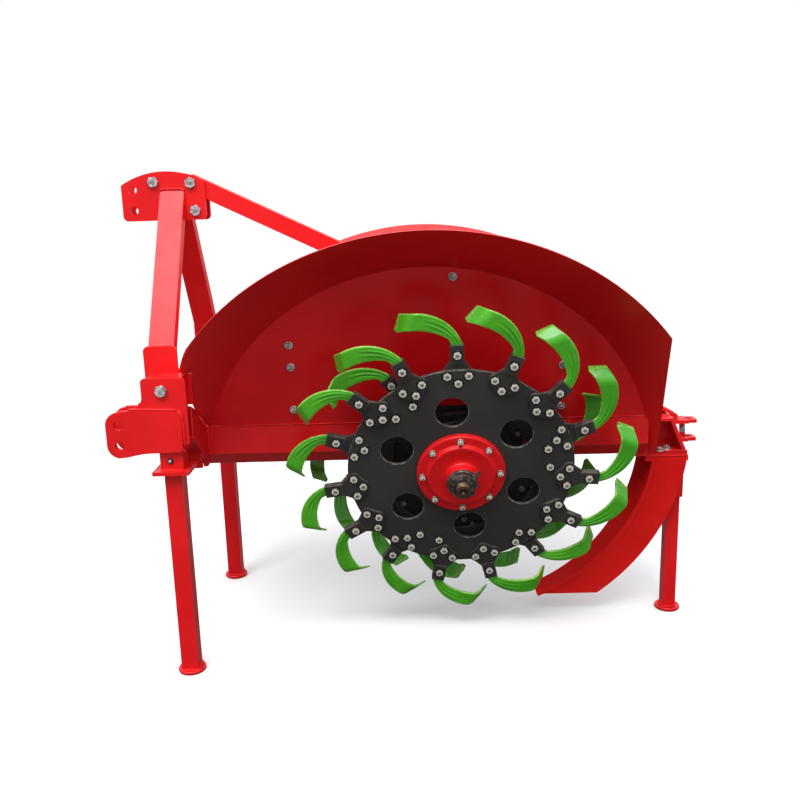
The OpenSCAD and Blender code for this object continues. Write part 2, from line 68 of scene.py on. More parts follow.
# ------------------------------------------------------------------ geometry
class Geo:
    """Collects closed shapes of one piece."""

    def __init__(self):
        self.v, self.f, self.m, self.s, self.e = [], [], [], [], []

    def add(self, verts, faces, mat=0, smooth=False, M=None, edge=None):
        b = len(self.v)
        self.v += [tuple(M @ Vector(p)) if M else tuple(p) for p in verts]
        self.e += edge if edge else [0.0] * len(verts)
        for f in faces:
            self.f.append(tuple(b + i for i in f))
            self.m.append(mat)
            self.s.append(smooth)

    def loft(self, rings, mat=0, smooth=True, M=None, close=False, caps=True, edge=None):
        n = len(rings[0])
        verts = [p for r in rings for p in r]
        faces = []
        k = len(rings)
        for i in range(k if close else k - 1):
            a, b = i * n, ((i + 1) % k) * n
            for j in range(n):
                j2 = (j + 1) % n
                faces.append((a + j, a + j2, b + j2, b + j))
        if caps and not close:
            faces.append(tuple(range(n - 1, -1, -1)))
            faces.append(tuple((k - 1) * n + j for j in range(n)))
        self.add(verts, faces, mat, smooth, M, edge)

    def lathe(self, profile, n=48, mat=0, smooth=True, M=None):
        """Profile of (radius, height) from one end on the axis side to the other."""
        rings = [[(r * math.cos(2 * math.pi * j / n), r * math.sin(2 * math.pi * j / n), z) for j in range(n)]
                 for r, z in profile]
        self.loft(rings, mat, smooth, M)

    def prism(self, outline, z0, z1, mat=0, M=None, holes=()):
        loops = [list(outline)] + [list(h) for h in holes]
        flat = [p for l in loops for p in l]
        n = len(flat)
        verts = [(x, y, z0) for x, y in flat] + [(x, y, z1) for x, y in flat]
        faces = []
        if holes:
            for t in tessellate_polygon([[Vector((x, y, 0)) for x, y in l] for l in loops]):
                faces.append(tuple(t))
                faces.append(tuple(n + i for i in reversed(t)))
        else:
            faces.append(tuple(range(n - 1, -1, -1)))
            faces.append(tuple(range(n, 2 * n)))
        b = 0
        for l in loops:
            k = len(l)
            for j in range(k):
                j2 = (j + 1) % k
                faces.append((b + j, b + j2, n + b + j2, n + b + j))
            b += k
        self.add(verts, faces, mat, False, M)

    def hexhead(self, M, R, h, mat=0, stud=None, stud_mat=1, washer=None, washer_mat=0):
        """Hexagon with chamfered top, on z = 0 of M; R is the corner radius."""
        z0 = 0
        if washer:
            self.lathe([(washer * 0.45, 0), (washer, 0), (washer, 2.2), (washer - 0.8, 3), (washer * 0.45, 3)], 28, washer_mat, False, M)
            z0 = 3
        a = R * math.cos(math.radians(30))

        def ring(z, kind):
            pts = []
            for j in range(24):
                t = math.radians(15 * j)
                edge = a / math.cos((t % math.radians(60)) - math.radians(30))
                r = edge if kind == 0 else min(edge, kind)
                pts.append((r * math.cos(t), r * math.sin(t), z))
            return pts
        rings = [ring(z0, R * 0.955), ring(z0 + h * 0.07, 0), ring(z0 + h * 0.88, 0), ring(z0 + h, R * 0.92)]
        first = len(self.m)
        self.loft(rings, mat, False, M)
        # Foot and flats of the head take material 1, darker than the top: painted shade on the sides of the head.
        for j in range(first, first + 48):
            self.m[j] = 1
        if stud:
            r, hh = stud
            self.lathe([(0.01, z0 + h - 2), (r, z0 + h - 2), (r, z0 + h + hh - 1.6), (r - 1.6, z0 + h + hh), (0.01, z0 + h + hh)], 20, stud_mat, False, M)

    def bead(self, path, r, M=None, mat=0, pitch=6.0, n=8, closed=False):
        """Weld bead along a path."""
        pts = [Vector(p) for p in path]
        dense = []
        k = len(pts)
        for i in range(k if closed else k - 1):
            a, b = pts[i], pts[(i + 1) % k]
            steps = max(2, int((b - a).length / (pitch * 0.34)))
            dense += [a.lerp(b, j / steps) for j in range(steps)]
        if not closed:
            dense.append(pts[-1])
        rings, dist = [], 0.0
        count = len(dense)
        for i, p in enumerate(dense):
            q = dense[(i + 1) % count] if (closed or i + 1 < count) else p
            o = dense[i - 1] if (closed or i > 0) else p
            t = (q - o).normalized()
            u = t.orthogonal().normalized() if abs(t.z) > 0.9 else t.cross(Vector((0, 0, 1))).normalized()
            w = t.cross(u)
            wob = noise.noise(p * 0.06) * 0.22
            rr = r * (0.86 + 0.16 * math.cos(dist / pitch * 2 * math.pi) + wob)
            if not closed:
                rr *= min(1.0, 0.45 + 0.55 * min(i, count - 1 - i) / 3)
            rings.append([tuple(p + (u * math.cos(2 * math.pi * j / n) + w * math.sin(2 * math.pi * j / n)) * rr) for j in range(n)])
            dist += (q - p).length
        self.loft(rings, mat, True, M, close=closed)

    def make(self, name, M, body, mats, bevel=0.0, replaces=None, edges=False):
        me = bpy.data.meshes.new(name)
        me.from_pydata([tuple(M @ Vector(p)) for p in self.v], [], self.f)
        me.polygons.foreach_set("material_index", self.m)
        me.polygons.foreach_set("use_smooth", self.s)
        if edges:
            at = me.attributes.new("edge", "FLOAT", "POINT")
            at.data.foreach_set("value", self.e)
        bm = bmesh.new()
        bm.from_mesh(me)
        bmesh.ops.recalc_face_normals(bm, faces=bm.faces)
        bm.to_mesh(me)
        bm.free()
        me.update()
        o = bpy.data.objects.new(name, me)
        bpy.context.scene.collection.objects.link(o)
        for m in mats:
            me.materials.append(m)
        if bevel:
            add_bevel(o, bevel)
        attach(o, body)
        if replaces:
            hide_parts(replaces)
        return o


def add_bevel(o, width, angle=38, segments=2, mat=-1):
    b = o.modifiers.new("edge", "BEVEL")
    b.material = mat
    b.width = width * MM
    b.segments = segments
    b.limit_method = "ANGLE"
    b.angle_limit = math.radians(angle)
    b.harden_normals = False


def circle(cx, cy, r, n=28, a0=0.0, a1=360.0):
    full = abs(a1 - a0) >= 360
    return [(cx + r * math.cos(math.radians(a0 + (a1 - a0) * j / (n if full else n - 1))),
             cy + r * math.sin(math.radians(a0 + (a1 - a0) * j / (n if full else n - 1)))) for j in range(n)]


def rounded(pts, radii, n=6):
    """Polygon with each corner rounded."""
    out = []
    k = len(pts)
    for i, p in enumerate(pts):
        r = radii[i] if isinstance(radii, (list, tuple)) else radii
        a, b, c = Vector(pts[i - 1]), Vector(p), Vector(pts[(i + 1) % k])
        if r <= 0:
            out.append(tuple(b))
            continue
        u, w = (a - b).normalized(), (c - b).normalized()
        half = math.acos(max(-1, min(1, u.dot(w)))) / 2
        d = min(r / math.tan(half), (a - b).length * 0.49, (c - b).length * 0.49)
        p0, p1 = b + u * d, b + w * d
        for j in range(n + 1):
            t = j / n
            out.append(tuple(p0 * (1 - t) ** 2 + b * 2 * t * (1 - t) + p1 * t ** 2))
    return out


# ------------------------------------------------------------------ materials
def srgb(r, g, b):
    f = lambda c: c / 12.92 if c <= 0.04045 else ((c + 0.055) / 1.055) ** 2.4
    return (f(r / 255), f(g / 255), f(b / 255), 1)


class Mat:
    """Small helper around a material's nodes."""

    def __init__(self, name):
        self.m = bpy.data.materials.new(name)
        self.m.use_nodes = True
        self.t = self.m.node_tree
        self.t.nodes.clear()
        self.out = self.n("ShaderNodeOutputMaterial")
        self.p = self.n("ShaderNodeBsdfPrincipled")
        self.t.links.new(self.p.outputs[0], self.out.inputs[0])
        self.co = self.n("ShaderNodeTexCoord").outputs["Object"]

    def n(self, kind, **kw):
        o = self.t.nodes.new(kind)
        for k, v in kw.items():
            setattr(o, k, v)
        return o

    def link(self, a, b):
        self.t.links.new(a, b)

    def noise(self, scale, detail=3.0, rough=0.55, vec=None, stretch=None):
        o = self.n("ShaderNodeTexNoise")
        o.inputs["Scale"].default_value = scale
        o.inputs["Detail"].default_value = detail
        o.inputs["Roughness"].default_value = rough
        v = vec or self.co
        if stretch:
            mp = self.n("ShaderNodeMapping")
            mp.inputs["Scale"].default_value = stretch
            self.link(v, mp.inputs["Vector"])
            v = mp.outputs[0]
        self.link(v, o.inputs["Vector"])
        return o.outputs["Fac"]

    def ramp(self, val, a, b, lo=0.0, hi=1.0):
        o = self.n("ShaderNodeMapRange", interpolation_type="SMOOTHSTEP")
        o.inputs["From Min"].default_value = a
        o.inputs["From Max"].default_value = b
        o.inputs["To Min"].default_value = lo
        o.inputs["To Max"].default_value = hi
        self.link(val, o.inputs["Value"])
        return o.outputs["Result"]

    def mix(self, fac, a, b):
        o = self.n("ShaderNodeMix", data_type="RGBA")
        self.link(fac, o.inputs["Factor"])
        for s, v in (("A", a), ("B", b)):
            sock = [i for i in o.inputs if i.name == s and i.type == "RGBA"][0]
            if isinstance(v, tuple):
                sock.default_value = v
            else:
                self.link(v, sock)
        return [i for i in o.outputs if i.type == "RGBA"][0]

    def math(self, op, a, b):
        o = self.n("ShaderNodeMath", operation=op)
        for i, v in enumerate((a, b)):
            if isinstance(v, (int, float)):
                o.inputs[i].default_value = v
            else:
                self.link(v, o.inputs[i])
        return o.outputs[0]

    def bump(self, height, strength, dist, normal=None):
        o = self.n("ShaderNodeBump")
        o.inputs["Strength"].default_value = strength
        o.inputs["Distance"].default_value = dist
        self.link(height, o.inputs["Height"])
        if normal:
            self.link(normal, o.inputs["Normal"])
        return o.outputs[0]

    def up(self):
        g = self.n("ShaderNodeNewGeometry")
        s = self.n("ShaderNodeSeparateXYZ")
        self.link(g.outputs["Normal"], s.inputs[0])
        return s.outputs["Z"]

    def height(self):
        s = self.n("ShaderNodeSeparateXYZ")
        self.link(self.co, s.inputs[0])
        return s.outputs["Z"]


def paint(name, base, deep, pale, dust, rough, dust_amount=0.10, coat=0.24, peel=0.35, gloss=0.16):
    """Sprayed enamel: cloudy tone, orange peel, thin dust on faces that look up, and specks."""
    a = Mat(name)
    tone = a.mix(a.ramp(a.noise(2.2, 3), 0.36, 0.66), deep, base)
    tone = a.mix(a.ramp(a.noise(9.0, 4), 0.58, 0.78, 0, 0.55), tone, pale)
    dusty = a.math("MULTIPLY", a.ramp(a.up(), 0.35, 0.95), a.ramp(a.noise(26, 5, 0.65), 0.42, 0.72, 0, dust_amount * 2.2))
    tone = a.mix(dusty, tone, dust)
    speck = a.ramp(a.noise(310, 2, 0.5), 0.735, 0.775, 0, 0.5)
    tone = a.mix(speck, tone, deep)
    a.link(tone, a.p.inputs["Base Color"])
    a.link(a.ramp(a.noise(14, 4), 0.3, 0.7, rough - 0.05, rough + 0.09), a.p.inputs["Roughness"])
    b1 = a.bump(a.noise(420, 2, 0.5), peel, 0.00022)
    b2 = a.bump(a.noise(11, 2, 0.5), 0.10, 0.0016, b1)
    a.link(b2, a.p.inputs["Normal"])
    a.p.inputs["Coat Weight"].default_value = coat
    a.p.inputs["Coat Roughness"].default_value = 0.22
    a.p.inputs["Specular IOR Level"].default_value = gloss
    return a.m


RED = paint("red_enamel", srgb(221, 22, 26), srgb(207, 16, 21), srgb(228, 30, 33), srgb(214, 92, 84), 0.34)
# Darker copy of the red enamel: painted shade, for a part that sits in shadow.
RED_PAINTED_SHADE = paint("red_enamel_painted_shade", srgb(208, 20, 22), srgb(186, 15, 19), srgb(216, 27, 28), srgb(168, 74, 62), 0.42, 0.16, 0.03)
RED_SHOE = paint("red_enamel_rubbed", srgb(224, 34, 31), srgb(210, 28, 27), srgb(232, 42, 38), srgb(160, 66, 56), 0.6, 0.16, 0.0, 0.35, 0.0)
RED_WELD = paint("red_enamel_weld", srgb(226, 30, 34), srgb(200, 15, 20), srgb(238, 52, 52), srgb(226, 110, 100), 0.28, 0.05, 0.15, 0.5)


def painted_edge_highlight(name, lo, hi):
    """Painted highlight on the bevelled edge of a painted plate: a lighter tone mixed in by noise."""
    a = Mat(name)
    a.link(a.mix(a.ramp(a.noise(55, 4, 0.6), 0.40, 0.62), lo, hi), a.p.inputs["Base Color"])
    a.link(a.ramp(a.noise(70, 3), 0.3, 0.7, 0.30, 0.50), a.p.inputs["Roughness"])
    a.link(a.bump(a.noise(300, 2), 0.3, 0.0003), a.p.inputs["Normal"])
    return a.m


# Lighter edge tones for the bevels: painted highlights along the edges of red and black plates.
EDGE_RED_HIGHLIGHT = painted_edge_highlight("red_enamel_edge_highlight", srgb(216, 22, 26), srgb(240, 74, 72))
EDGE_BLACK_HIGHLIGHT = painted_edge_highlight("black_enamel_edge_highlight", srgb(58, 56, 54), srgb(122, 119, 115))


def black_enamel():
    a = Mat("black_enamel")
    tone = a.mix(a.ramp(a.noise(3.1, 3), 0.35, 0.68), srgb(52, 50, 49), srgb(60, 58, 56))
    tone = a.mix(a.ramp(a.noise(40, 5, 0.65), 0.56, 0.80, 0, 0.35), tone, srgb(58, 55, 51))
    tone = a.mix(a.math("MULTIPLY", a.ramp(a.up(), 0.3, 0.95), a.ramp(a.noise(30, 5), 0.35, 0.65, 0, 0.7)), tone, srgb(104, 99, 92))
    a.link(tone, a.p.inputs["Base Color"])
    a.link(a.ramp(a.noise(18, 4), 0.3, 0.7, 0.36, 0.52), a.p.inputs["Roughness"])
    a.link(a.bump(a.noise(380, 2), 0.35, 0.00025, a.bump(a.noise(30, 3), 0.12, 0.0008)), a.p.inputs["Normal"])
    a.p.inputs["Specular IOR Level"].default_value = 0.16
    return a.m


def black_cast():
    a = Mat("black_casting")
    tone = a.mix(a.ramp(a.noise(24, 5, 0.6), 0.35, 0.7), srgb(24, 24, 25), srgb(44, 43, 42))
    a.link(tone, a.p.inputs["Base Color"])
    a.link(a.ramp(a.noise(60, 3), 0.3, 0.7, 0.45, 0.66), a.p.inputs["Roughness"])
    a.link(a.bump(a.noise(170, 4, 0.6), 0.6, 0.0007), a.p.inputs["Normal"])
    return a.m


def green_enamel():
    """Brushed-on green over forged steel, worn pale along the edges, with flecks and a few dark scratches."""
    a = Mat("green_enamel")
    tone = a.mix(a.ramp(a.noise(7, 3), 0.33, 0.68), srgb(64, 158, 22), srgb(84, 184, 36))
    tone = a.mix(a.ramp(a.noise(36, 4, 0.6), 0.60, 0.80, 0, 0.5), tone, srgb(96, 178, 50))
    at = a.n("ShaderNodeAttribute", attribute_name="edge")
    worn = a.math("MULTIPLY", a.ramp(at.outputs["Fac"], 0.25, 0.95), a.ramp(a.noise(75, 4, 0.6), 0.34, 0.56))
    tone = a.mix(worn, tone, srgb(150, 196, 92))
    vo = a.n("ShaderNodeTexVoronoi")
    vo.inputs["Scale"].default_value = 120
    a.link(a.co, vo.inputs["Vector"])
    fleck = a.math("MULTIPLY", a.ramp(vo.outputs["Distance"], 0.13, 0.07), a.ramp(a.noise(9, 2), 0.50, 0.60))
    tone = a.mix(fleck, tone, srgb(196, 226, 140))
    scratch = a.ramp(a.noise(30, 2, 0.4, stretch=(0.35, 1.0, 1.0)), 0.765, 0.80)
    tone = a.mix(scratch, tone, srgb(26, 34, 18))
    a.link(tone, a.p.inputs["Base Color"])
    a.link(a.ramp(a.noise(26, 4), 0.3, 0.7, 0.22, 0.38), a.p.inputs["Roughness"])
    a.link(a.bump(a.noise(140, 4, 0.6), 0.35, 0.0007, a.bump(a.noise(14, 2), 0.3, 0.003)), a.p.inputs["Normal"])
    a.p.inputs["Coat Weight"].default_value = 0.6
    a.p.inputs["Coat Roughness"].default_value = 0.14
    a.p.inputs["Specular IOR Level"].default_value = 0.22
    return a.m


def zinc():
    a = Mat("zinc_plate")
    tone = a.mix(a.ramp(a.noise(90, 3), 0.35, 0.68), srgb(226, 220, 204), srgb(246, 243, 233))
    tone = a.mix(a.ramp(a.noise(420, 2), 0.66, 0.74, 0, 0.5), tone, srgb(150, 142, 120))
    a.link(tone, a.p.inputs["Base Color"])
    a.link(a.ramp(a.noise(130, 3), 0.3, 0.7, 0.30, 0.50), a.p.inputs["Roughness"])
    a.link(a.bump(a.noise(500, 2), 0.25, 0.0002), a.p.inputs["Normal"])
    a.p.inputs["Metallic"].default_value = 0.3
    return a.m


def steel(name, lo, hi, rough, metal=0.9):
    a = Mat(name)
    tone = a.mix(a.ramp(a.noise(60, 4, 0.6), 0.35, 0.68), lo, hi)
    a.link(tone, a.p.inputs["Base Color"])
    a.link(a.ramp(a.noise(160, 3), 0.3, 0.7, rough - 0.07, rough + 0.1), a.p.inputs["Roughness"])
    a.link(a.bump(a.noise(600, 2), 0.3, 0.0002), a.p.inputs["Normal"])
    a.p.inputs["Metallic"].default_value = metal
    return a.m


BLACK = black_enamel()
CAST = black_cast()
GREEN = green_enamel()
ZINC = zinc()
STUD = steel("bolt_end", srgb(126, 122, 112), srgb(176, 172, 160), 0.45, 0.6)
HEAD = steel("bolt_head", srgb(136, 138, 141), srgb(232, 233, 234), 0.30, 0.5)
OILED = steel("oiled_steel", srgb(58, 55, 53), srgb(124, 118, 112), 0.30, 0.7)
STEEL = steel("turned_steel", srgb(150, 148, 144), srgb(190, 188, 182), 0.30)
DARK_STEEL = steel("blackened_steel", srgb(40, 38, 37), srgb(70, 64, 60), 0.34, 0.75)
COPPER = steel("greased_thread", srgb(66, 54, 46), srgb(124, 96, 76), 0.32, 0.8)

SLOT_MAT = {"red_paint": RED, "black_paint": BLACK, "green_paint": GREEN, "black_casting": CAST, "bare_steel": STEEL}
EDGE_HIGHLIGHT_MAT = {"red_paint": EDGE_RED_HIGHLIGHT, "black_paint": EDGE_BLACK_HIGHLIGHT}
for part in frame["record"]["subparts"]:
    o = nodes[part["node"]]
    o.data.materials.clear()
    o.data.materials.append(RED_SHOE if part["node"] == "trench_shoe" else SLOT_MAT[part["material_slot"]])
    w = o.modifiers.new("weld", "WELD")
    w.merge_threshold = 0.00002
    kind = part["material_slot"]
    # Bevel faces of red and black nodes take the lighter edge material: a painted highlight along every bevelled edge.
    if kind in EDGE_HIGHLIGHT_MAT:
        o.data.materials.append(EDGE_HIGHLIGHT_MAT[kind])
    add_bevel(o, {"red_paint": 1.8, "black_paint": 2.2}.get(kind, 1.2), mat=1 if kind in EDGE_HIGHLIGHT_MAT else -1)
    n = o.modifiers.new("normals", "WEIGHTED_NORMAL")
    n.keep_sharp = True

# ------------------------------------------------------------------ rotors
TOOTH_N = 15
EARS = [(-36, 381), (36, 381), (0, 353)]
Q = [0, .02, .06, .13, .19, .24, .29, .34, .39, .44, .50, .56, .61, .66, .72, .80, .88, .94, .98, 1]


def tooth(geo, M, r_in, r0, fold, seed):
    """Hooked strip in the disc's plane with pressed ribs, and a tip bent out of it."""
    e1, e2 = Vector((-142, r0 + 108.5)), Vector((-163, r0 + 47))
    e = (e2 - e1).normalized()
    nn = Vector((e.y, -e.x))
    pairs = [(Vector((16.8, v)), Vector((-16.8, v)), 0.0) for v in (r_in, (r_in + r0 - 10) / 2, r0 - 9)]
    for i in range(1, 27):
        s = i / 26
        a = math.radians(14.85 + 75.15 * s)
        out = Vector((-135 + 160 * math.cos(a), r0 - 51 + 160 * math.sin(a)))
        if s < 0.12:
            inn = Vector((-20 - 6 * (s / 0.12) ** 2, r0 - 10 + 19 * s / 0.12))
        else:
            b = math.radians(53.0 + 45 * (s - 0.12) / 0.88)
            inn = Vector((-137 + 186 * math.cos(b), r0 - 138 + 186 * math.sin(b)))
        pairs.append((out, inn, s))
    A, B, C = e1 + 28 * e + 56 * nn, e1 + 89 * e + 56 * nn, e1 + 90 * e + 38 * nn
    for i in range(0, 9):
        t = i / 8
        pairs.append((e1.lerp(A, t * 0.9), e2.lerp(C, t), 1 + t))
    pairs.append((A, B, 2.1))
    sign = 1 if fold > 0 else -1
    th = math.radians(abs(fold))
    b = 13.0
    R = 2 * b / th
    rings, edge = [], []
    last = len(pairs) - 1
    for i, (o, inn, s) in enumerate(pairs):
        ribs = 3.2 * max(0.0, min(1.0, (0.80 - s) / 0.3, 0.25 + s * 6))
        thick = 5.0 if s < 1 else 5.0 - 1.6 * (s - 1)
        if i == last:
            thick = 2.2
        top, bot, et = [], [], []
        for q in Q:
            p = o.lerp(inn, q)
            side = min(q, 1 - q)
            h = thick * (0.45 if side == 0 else 0.86 if side < 0.03 else 1.0)
            rib = ribs * (math.exp(-((q - 0.29) / 0.055) ** 2) + 0.9 * math.exp(-((q - 0.56) / 0.06) ** 2) - 0.5 * math.exp(-((q - 0.42) / 0.05) ** 2))
            lump = 0.5 * noise.noise(Vector((p.x * 0.03, p.y * 0.03, seed)))
            worn = 1.0 if side == 0 else 0.8 if side < 0.03 else 0.35 if side < 0.07 else 0.0
            if i >= last - 1:
                worn = max(worn, 0.7)
            for z, ls in ((h + rib + lump, top), (-h + rib + lump, bot)):
                d = (p - e1).dot(nn)
                if d < -b:
                    x, w = d, z
                else:
                    f = min((d + b) / R, th)
                    more = max(0.0, d - b)
                    x = -b + R * math.sin(f) + z * math.sin(f) + more * math.cos(f)
                    w = -R * (1 - math.cos(f)) + z * math.cos(f) - more * math.sin(f)
                g = p + nn * (x - d)
                ls.append((g.x, g.y, w * sign))
            et.append(worn)
        rings.append(top + bot[::-1])
        edge += et + et[::-1]
    geo.loft(rings, 0, True, M, edge=edge)


def spin(deg, z=0.0):
    return Matrix.Rotation(math.radians(deg), 4, "Z") @ Matrix.Translation(Vector((0, 0, z)))


for side in SIDES:
    RM = ROTOR[side] @ spin(ROTOR_TURN[side])
    body = side + "_rotor"
    # teeth
    g = Geo()
    for k in range(TOOTH_N):
        tooth(g, spin(1.9 - 24 * k, -12 if k % 3 == 0 else 12), 434, 500, 52, k + 0.3)
    for k in range(3):
        tooth(g, spin(38.5 + 120 * k, -100), 367, 424, -52, 40 + k)
    g.make(side + "_teeth_forged", RM, body, [GREEN], replaces=side + "_teeth", edges=True)

    # bolts that hold the holders and the teeth
    g = Geo()
    FRONT, BACK = (0, 0, 1), (0, 0, -1)

    def nut(x, y, z, axis, R=14.0, h=7.5, tall=1.0, mat=0):
        """Low hexagon on a dark washer that stands in for the shadow ring round the nut, a painted shadow; on the front
        its place is where it shows, a little up from its hole.
        """
        y += 3.0 if axis[2] > 0 else 0.0
        # Dark washer ring: painted shadow round the nut.
        g.lathe([(4, 0), (R * 1.34, 0), (R * 1.34, 1.2), (R * 1.26, 1.8), (4, 1.8)], 28, 2, False, frame_at((x, y, z), axis))
        up = Vector(axis).normalized() * 1.8
        g.hexhead(frame_at((x + up.x, y + up.y, z + up.z), axis, random.uniform(0, 60)), R, h, mat, (R * 0.56, tall), 1)

    def polar(r, deg):
        return r * math.cos(math.radians(deg)), r * math.sin(math.radians(deg))
    for k in range(TOOTH_N):
        T = spin(1.9 - 24 * k)
        behind = k % 3 == 0
        for ex, ey in EARS:
            p = T @ Vector((ex, ey, 0))
            nut(p.x, p.y, 6 if behind else 18, FRONT)
            nut(p.x, p.y, -18 if behind else -6, BACK, tall=7)
        p = T @ Vector((0, 455, 0))
        nut(p.x, p.y, (-12 if behind else 12) + 13, FRONT)
        nut(p.x, p.y, (-12 if behind else 12) - 13, BACK, tall=7)
    for k in range(3):
        for s in (-1, 1):
            p = spin(38.5 + 120 * k) @ Vector((38 * s, 314, 0))
            nut(p.x, p.y, 6, FRONT)
            nut(p.x, p.y, -108, BACK, tall=7)
        p = spin(38.5 + 120 * k) @ Vector((0, 384, 0))
        nut(p.x, p.y, -87, FRONT)
        nut(p.x, p.y, -113, BACK, tall=7)
    for r, deg in ((282, -33.7), (318, -29.1), (299, -134.5), (328, -127.6), (323, -80.8), (292, -86)):
        for turn in (0, 180):
            x, y = polar(r, deg + turn)
            nut(x, y, -100, FRONT, 12.5, mat=1)
    for k in range(8):
        x, y = polar(138, 1.8 + 45 * k)
        g.hexhead(frame_at((x, y, 30), FRONT, 13 * k), 10.6, 9, 0, (5.6, 8), 3, washer=12, washer_mat=3)
    ring = Geo()
    outline = [(289, -52), (344.5, -52), (346, -50.6), (346, -45.4), (344.5, -44), (290.4, -44), (289, -45.4)]
    ring.loft([[(r * math.cos(math.radians(3 * v)), r * math.sin(math.radians(3 * v)), z) for v in range(120)] for r, z in outline],
              0, False, close=True)
    ring.make(side + "_ring_facing", RM, body, [BLACK])
    g.make(side + "_rotor_bolts", RM, body, [ZINC, STUD, DARK_STEEL, STEEL])

    # hub
    g = Geo()
    g.lathe([(0.5, 6), (157, 6), (158, 8), (158, 23), (157, 26.5), (154.5, 29), (151, 30), (147, 30.2), (130, 30.2), (126.6, 30.6), (124.4, 32),
             (123, 35), (121.4, 39), (119.4, 42), (116.4, 43.6), (112.6, 44), (108, 43.2), (84, 40.2), (68, 40), (61.5, 41), (57.5, 43.5), (55, 47.5),
             (53.4, 54), (52.4, 64), (51.8, 72), (50.6, 76), (47.5, 78), (30, 78), (0.5, 78)], 112, 0, True)
    g.make(side + "_hub_turned", RM, body, [RED], replaces=side + "_hub")

    # castle nut, tab washer and threaded shaft end
    g = Geo()
    tab = circle(0, 0, 55, 44)
    tab[3:8] = [(52, 27), (60, 34), (64, 43), (54, 50), (44, 37)]
    g.prism(tab, 77.8, 82, 0)
    g.lathe([(20, 82), (53, 82), (53.5, 84), (52, 87), (48, 88), (20, 88)], 60, 0, True)
    first = len(g.m)
    g.hexhead(frame_at((0, 0, 86), FRONT, 18), 52, 22, 0)
    g.m[first:] = [0] * (len(g.m) - first)
    for j in range(6):
        a0 = 18 + 60 * j
        seg = circle(0, 0, 41, 7, a0 + 12, a0 + 48) + circle(0, 0, 28.2, 7, a0 + 48, a0 + 12)
        g.prism(seg, 106, 117.5, 0)
    prof = [(0.5, 84), (26.2, 84)]
    z = 106.0
    while z < 130:
        prof += [(27.2, z), (25.6, z + 1.2)]
        z += 2.4
    prof += [(26.4, 131), (24, 134), (10, 134), (8, 131), (3.5, 126), (0.5, 125.4)]
    g.lathe(prof, 40, 1, False)
    g.make(side + "_spindle_castle_nut", RM, body, [OILED, COPPER], bevel=0.8, replaces=side + "_spindle_nut")

# ------------------------------------------------------------------ frame, both sides
CHEEK = ([(-162 + 44 * math.cos(math.radians(a)), 929 + 44 * math.sin(math.radians(a))) for a in range(96, 181, 7)]
         + [(-162 + 44 * math.cos(math.radians(a)), 860 + 44 * math.sin(math.radians(a))) for a in range(180, 271, 7)]
         + [(-140, 818.5), (-110, 825), (-85, 829), (-60, 830.5)]
         + rounded([(-60, 831), (49, 832), (51, 972), (-120, 980)], [0, 16, 24, 0], 6)[1:])
SHIELD_BOLTS = [(-21, 667), (-597, 428), (-597, 341), (-601, 168), (372, 324), (375, 157)]
LEG_N = Vector((0, -0.863, 0.505))

